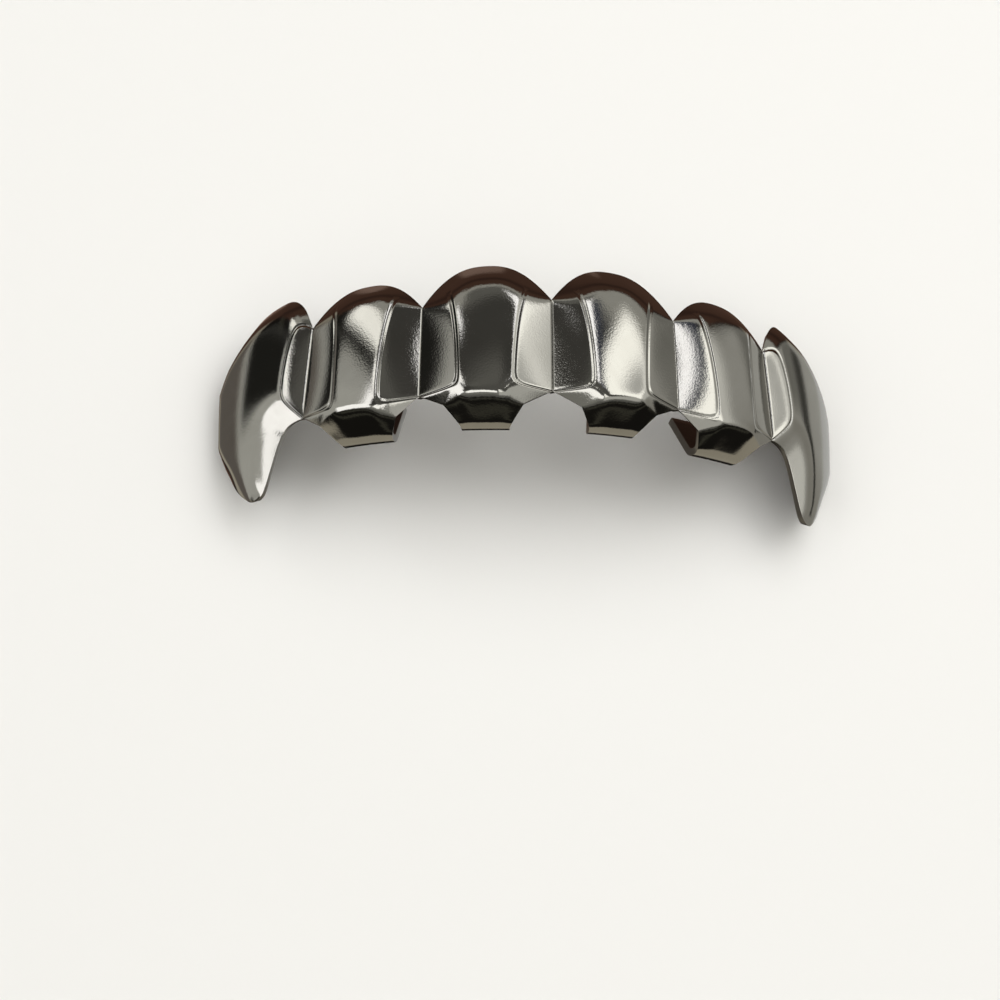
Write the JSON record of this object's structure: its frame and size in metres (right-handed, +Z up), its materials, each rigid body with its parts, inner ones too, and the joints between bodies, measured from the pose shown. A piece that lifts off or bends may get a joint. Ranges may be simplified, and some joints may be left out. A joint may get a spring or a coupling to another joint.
{
  "type": "vampire fang grill for the upper front teeth",
  "caption": "One-piece gunmetal-plated dental grill: a curved shell of tooth caps with long pointed fang canines and folded tabs that hook under the incisors.",
  "frame": {"origin": "under the middle of the shell's bounding box, on the surface that it lies on", "axes": "+X along the row of teeth to the wearer's left, +Y towards the gum edge, +Z up, the way the front faces look as the grill lies on its back"},
  "size_m": [0.0428, 0.015, 0.0124],
  "materials": {
    "gunmetal_plate": "mirror-polished gunmetal (black chrome) plating over brass sheet"
  },
  "bodies": {
    "root": {"grill_shell": "gunmetal_plate"}
  },
  "joints": []
}
